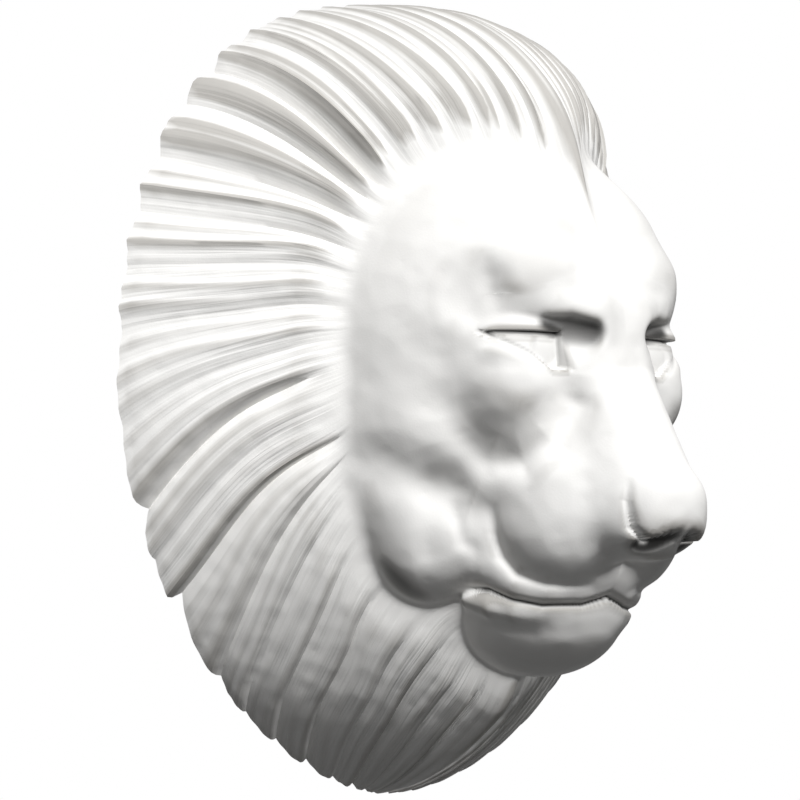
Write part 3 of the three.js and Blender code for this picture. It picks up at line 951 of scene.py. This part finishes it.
@dataclass
class MaskGrid:
    """The surface's points, ring by ring, and what the finish needs to know of them."""

    points: Array
    columns: Columns
    flow: Array
    hair: Array
    painted_line_shade: Array

    def across_locks(self) -> Array:
        """Place of every point across the locks of its own side, one lock to a unit."""
        place = self.columns.lock + self.columns.across
        return np.broadcast_to(place, self.flow.shape).astype(float)

    def nose(self) -> Array:
        """The pole in front of the nose: the mean of the first ring."""
        return self.points[0].mean(axis=0)

    def vertices(self) -> Array:
        """All points in metres: the nose, the rings, and the middle of the flat back."""
        ring_points = self.points.reshape(-1, 3)
        every = np.vstack([self.nose()[None, :], ring_points, np.zeros((1, 3))])
        return np.stack([every[:, 0], -every[:, 1], every[:, 2]], -1) * MM

    def faces(self) -> tuple[Array, Array]:
        """Corners of all faces: bands between rings, and fans at the nose and on the back.

        Returns:
            The quads of the bands and the triangles of the two fans, facing outwards.
        """
        rings, around = self.points.shape[:2]
        index = 1 + np.arange(rings * around).reshape(rings, around)
        beside = np.roll(index, -1, axis=1)
        bands = np.stack([index[:-1], beside[:-1], beside[1:], index[1:]], -1).reshape(-1, 4)
        nose = np.stack([np.zeros(around, int), beside[0], index[0]], -1)
        back = np.stack([np.full(around, 1 + rings * around), index[-1], beside[-1]], -1)
        return bands, np.vstack([nose, back])

    def hollows(self) -> Array:
        """How hollow the surface is at each grid point, from -1 on ridges to 1 in grooves.

        A point's offset along the outward normal from the mean of its four neighbours, one
        and three steps away, the farther ones counting a third.
        """
        p = self.points
        total = np.zeros(p.shape[:2])
        for step in (1, 3):
            up = np.concatenate([p[:1].repeat(step, 0), p[:-step]])
            down = np.concatenate([p[step:], p[-1:].repeat(step, 0)])
            left, right = np.roll(p, step, axis=1), np.roll(p, -step, axis=1)
            mean = 0.25 * (up + down + left + right)
            normal = np.cross(right - left, down - up)
            length = np.linalg.norm(normal, axis=-1, keepdims=True)
            normal /= np.maximum(length, 1e-9)
            total += ((mean - p) * normal).sum(-1) * (0.9 / step)
        return np.clip(total, -1.0, 1.0)


@dataclass(frozen=True)
class Wiring:
    """The nodes of one material, or of the surroundings."""

    tree: bpy.types.NodeTree

    @classmethod
    def of(cls, owner: bpy.types.Material | bpy.types.World) -> "Wiring":
        """The emptied nodes of a material or world."""
        owner.use_nodes = True
        owner.node_tree.nodes.clear()
        return cls(owner.node_tree)

    def add(self, kind: str, inputs: Inputs | None = None, **choices: str) -> bpy.types.Node:
        """Add a node and wire it up.

        Args:
            kind: The node's type, without "ShaderNode".
            inputs: For each input, by name or number, its value or the socket that feeds it.
            choices: The node's own choices, such as its operation.

        Returns:
            The node.
        """
        node = self.tree.nodes.new("ShaderNode" + kind)
        for name, value in choices.items():
            setattr(node, name, value)
        for name, value in (inputs or {}).items():
            if isinstance(value, bpy.types.NodeSocket):
                self.tree.links.new(value, node.inputs[name])
            else:
                node.inputs[name].default_value = value
        return node


@dataclass(frozen=True)
class PlasterFinish:
    """Dry white cast plaster, lightly tooled, with painted shade in its grooves."""

    light: Numbers = (0.90, 0.895, 0.88, 1.0)
    shade: Numbers = (0.83, 0.82, 0.80, 1.0)
    # painted shade: the grey laid over the grooves as the hollow mask rises
    groove: Numbers = (0.50, 0.485, 0.46, 1.0)
    # painted shadow: the near-black colour laid in the carved lines that light hardly reaches
    line: Numbers = (0.03, 0.029, 0.028, 1.0)
    # the hollow mask's values where the painted groove shade starts and where it is full
    groove_shade_range: Numbers = (0.06, 0.6)
    specular: float = 0.25
    roughness: float = 0.82
    roughness_drift: float = 0.06
    drift_size: float = 9.0
    grain_size: float = 900.0
    grain_depth: float = 0.00005
    tooling_size: float = 85.0
    tooling_smoothness: float = 0.6
    tooling_depth: float = 0.0006
    streaks_across: float = 9.0
    streaks_along: float = 1.6
    streak_depth: float = 0.0008

    def material(self) -> bpy.types.Material:
        """Build the material.

        Returns:
            A Principled surface whose colour drifts softly over the cast, with painted shade in the
            grooves and painted shadow turning the deep carved lines nearly black, with the marks of
            the tool, the streaks of the comb and a fine grain as relief.
        """
        made = bpy.data.materials.new("plaster")
        wiring = Wiring.of(made)
        place = wiring.add("TexCoord").outputs["Object"]
        grain = self._noise(wiring, place, self.grain_size, 2.0)
        rough = wiring.add(
            "MapRange",
            {
                "Value": grain,
                "To Min": self.roughness - self.roughness_drift,
                "To Max": self.roughness + self.roughness_drift,
            },
        )
        normal = None
        for height, depth in (
            (self._tooling(wiring, place), self.tooling_depth),
            (self._streaks(wiring), self.streak_depth),
            (grain, self.grain_depth),
        ):
            below = {"Normal": normal} if normal else {}
            bump = wiring.add("Bump", {"Strength": 1.0, "Distance": depth, "Height": height, **below})
            normal = bump.outputs["Normal"]
        surface = wiring.add(
            "BsdfPrincipled",
            {
                "Base Color": self._colour(wiring, place),
                "Roughness": rough.outputs["Result"],
                "Specular IOR Level": self.specular,
                "Normal": normal,
            },
        )
        wiring.add("OutputMaterial", {"Surface": surface.outputs["BSDF"]})
        return made

    def _colour(self, wiring: Wiring, place: bpy.types.NodeSocket) -> bpy.types.NodeSocket:
        """Colour of the plaster: a drift of tone, then painted shade in grooves and deep lines."""
        low, high = self.groove_shade_range
        # painted shade: the hollow mask greys the grooves, the carved lines' mask turns them nearly
        # black
        hollow = wiring.add("Attribute", attribute_name="hollow").outputs["Fac"]
        groove_shade = wiring.add("MapRange", {"Value": hollow, "From Min": low, "From Max": high})
        painted_line_shade = wiring.add("Attribute", attribute_name="painted_line_shade")
        colour = self.light
        for share, over in (
            (self._noise(wiring, place, self.drift_size, 3.0), self.shade),
            (groove_shade.outputs["Result"], self.groove),
            (painted_line_shade.outputs["Fac"], self.line),
        ):
            laid = wiring.add("Mix", {"Factor": share, "A": colour, "B": over}, data_type="RGBA")
            colour = laid.outputs["Result"]
        return colour

    def _tooling(self, wiring: Wiring, place: bpy.types.NodeSocket) -> bpy.types.NodeSocket:
        """Height of the flat marks of the tool: the nearest of scattered cells, softened."""
        inputs = {"Vector": place, "Scale": self.tooling_size, "Smoothness": self.tooling_smoothness}
        return wiring.add("TexVoronoi", inputs, feature="SMOOTH_F1").outputs["Distance"]

    def _streaks(self, wiring: Wiring) -> bpy.types.NodeSocket:
        """Height of the comb's fine streaks: noise drawn out along the locks, on the hair only."""
        comb = wiring.add("Attribute", attribute_name="comb").outputs["Vector"]
        hair = wiring.add("SeparateXYZ", {"Vector": comb}).outputs["Z"]
        drawn_out = {0: comb, 1: (self.streaks_across, self.streaks_along, 0.0)}
        drawn = wiring.add("VectorMath", drawn_out, operation="MULTIPLY").outputs["Vector"]
        noise = self._noise(wiring, drawn, 1.0, 2.0)
        return wiring.add("Math", {0: noise, 1: hair}, operation="MULTIPLY").outputs["Value"]

    @staticmethod
    def _noise(
        wiring: Wiring, place: bpy.types.NodeSocket, scale: float, detail: float
    ) -> bpy.types.NodeSocket:
        """Noise over places, with its scale in waves a unit."""
        inputs = {"Vector": place, "Scale": scale, "Detail": detail}
        return wiring.add("TexNoise", inputs).outputs["Fac"]


@dataclass
class LionMask:
    """The visible mask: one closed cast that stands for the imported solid."""

    surface: MaskSurface
    finish: PlasterFinish = field(default_factory=PlasterFinish)
    crease_angle: float = math.radians(50.0)

    def build(self) -> bpy.types.Object:
        """Make the mesh, dress it and put it in the solid's place.

        Returns:
            The mask, riding on the part's one body.
        """
        grid = self.surface.shape()
        piece = bpy.data.objects.new("lion_mask_carved", self._mesh(grid))
        bpy.context.scene.collection.objects.link(piece)
        piece.data.materials.append(self.finish.material())
        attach(piece, "root")
        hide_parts("lion_mask")
        return piece

    def _mesh(self, grid: MaskGrid) -> bpy.types.Mesh:
        """Put the grid into a mesh, with what the finish reads and with its back kept sharp."""
        bands, fans = grid.faces()
        made = bpy.data.meshes.new("lion_mask_carved")
        made.from_pydata(grid.vertices(), [], bands.tolist() + fans.tolist())
        # the hollow mask and the carved lines' painted shade, one value a vertex, for the material
        for name, values in (("hollow", grid.hollows()), ("painted_line_shade", grid.painted_line_shade)):
            kept = made.attributes.new(name, "FLOAT", "POINT")
            kept.data.foreach_set("value", self._per_vertex(values))
        comb = made.attributes.new("comb", "FLOAT_VECTOR", "POINT")
        parts = (grid.across_locks(), grid.flow, grid.hair)
        comb.data.foreach_set("vector", np.stack([self._per_vertex(v) for v in parts], -1).reshape(-1))
        made.shade_smooth()
        made.set_sharp_from_angle(angle=self.crease_angle)
        made.validate()
        return made

    @staticmethod
    def _per_vertex(values: Array) -> Array:
        """Grid values as one number a vertex, with nought at the nose and the back's middle."""
        return np.concatenate([[0.0], values.reshape(-1), [0.0]]).astype(np.float32)


@dataclass(frozen=True)
class Studio:
    """Plain pale floor, white surroundings, three lights and the camera.

    Most of the key light throws no shadow, as in the photograph; a wide one beside it throws
    soft ones.
    """

    azimuth: float = math.radians(-45.0)
    elevation: float = math.radians(-4.0)
    width: float = 0.4046
    sideways: float = 0.0101
    lens: float = 1600.0
    floor_height: float = -1.6
    floor_side: float = 30.0
    surroundings: float = 0.085
    key: float = 4.1
    key_toward: Numbers = (0.30, 0.75, 0.60)
    key_plain: float = 0.7
    fill: float = 0.3
    fill_toward: Numbers = (-0.7, -0.35, 0.6)

    def axes(self) -> tuple[Vector, Vector, Vector]:
        """The view's right, up and backward directions."""
        turn, rise = self.azimuth, self.elevation
        level = math.cos(rise)
        back = Vector((math.sin(turn) * level, -math.cos(turn) * level, math.sin(rise)))
        right = Vector((math.cos(turn), math.sin(turn), 0.0))
        return right, back.cross(right), back

    def camera(self) -> bpy.types.Object:
        """A camera with a very long lens, at the photograph's angle and framing."""
        right, _, back = self.axes()
        lens = bpy.data.cameras.new("camera")
        lens.lens = self.lens
        lens.clip_start = 1.0
        lens.clip_end = 60.0
        away = self.width * self.lens / lens.sensor_width
        stand = bpy.data.objects.new("camera", lens)
        stand.location = back * away + right * self.sideways
        stand.rotation_euler = back.to_track_quat("Z", "Y").to_euler()
        bpy.context.scene.collection.objects.link(stand)
        bpy.context.scene.camera = stand
        return stand

    def sun(
        self, name: str, toward: Numbers, strength: float, spread: float, shadow: bool = True
    ) -> bpy.types.Object:
        """A soft distant light.

        Args:
            name: The light's name.
            toward: Its direction as shares of the view's right, up and backward directions.
            strength: Its strength.
            spread: Its apparent width in degrees.
            shadow: Whether it throws shadows.

        Returns:
            The light.
        """
        right, up, back = self.axes()
        direction = (right * toward[0] + up * toward[1] + back * toward[2]).normalized()
        light = bpy.data.lights.new(name, "SUN")
        light.energy = strength
        light.angle = math.radians(spread)
        light.use_shadow = shadow
        lamp = bpy.data.objects.new(name, light)
        lamp.rotation_euler = direction.to_track_quat("Z", "Y").to_euler()
        bpy.context.scene.collection.objects.link(lamp)
        return lamp

    def world(self) -> None:
        """White surroundings, seen bright but casting only a soft light."""
        made = bpy.data.worlds.new("studio")
        wiring = Wiring.of(made)
        white = (1.0, 1.0, 1.0, 1.0)
        lit, seen = (
            wiring.add("Background", {"Color": white, "Strength": strength}).outputs["Background"]
            for strength in (self.surroundings, 1.0)
        )
        from_camera = wiring.add("LightPath").outputs["Is Camera Ray"]
        both = wiring.add("MixShader", {"Fac": from_camera, 1: lit, 2: seen})
        wiring.add("OutputWorld", {"Surface": both.outputs["Shader"]})
        bpy.context.scene.world = made

    def floor(self) -> bpy.types.Object:
        """A plain pale floor far below the mask, which throws no light back up at it."""
        side, z = self.floor_side, self.floor_height
        corners = [(-side, -side, z), (side, -side, z), (side, side, z), (-side, side, z)]
        mesh = bpy.data.meshes.new("floor")
        mesh.from_pydata(corners, [], [(0, 1, 2, 3)])
        pale = bpy.data.materials.new("floor")
        pale.use_nodes = True
        surface = pale.node_tree.nodes["Principled BSDF"]
        surface.inputs["Base Color"].default_value = (0.9, 0.9, 0.9, 1.0)
        surface.inputs["Roughness"].default_value = 0.9
        mesh.materials.append(pale)
        made = bpy.data.objects.new("floor", mesh)
        made.visible_diffuse = False
        bpy.context.scene.collection.objects.link(made)
        return made

    def build(self) -> None:
        """Set up the floor, surroundings, lights and camera, with plain white shown as white."""
        bpy.context.scene.view_settings.view_transform = "Standard"
        self.floor()
        self.world()
        self.sun("key", self.key_toward, self.key * self.key_plain, 8.0, shadow=False)
        self.sun("key_shade", self.key_toward, self.key * (1.0 - self.key_plain), 50.0)
        self.sun("fill", self.fill_toward, self.fill, 60.0)
        self.camera()


def main() -> None:
    """Build the mask and the studio in order, and report each."""
    logging.basicConfig(level=logging.INFO, format="%(message)s")
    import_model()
    detail = Detail.FULL
    mask = LionMask(MaskSurface(detail)).build()
    LOG.info("mask: %d vertices, %d faces", len(mask.data.vertices), len(mask.data.polygons))
    Studio().build()
    LOG.info("studio: floor, surroundings, three lights, camera")


if __name__ == "__main__":
    main()
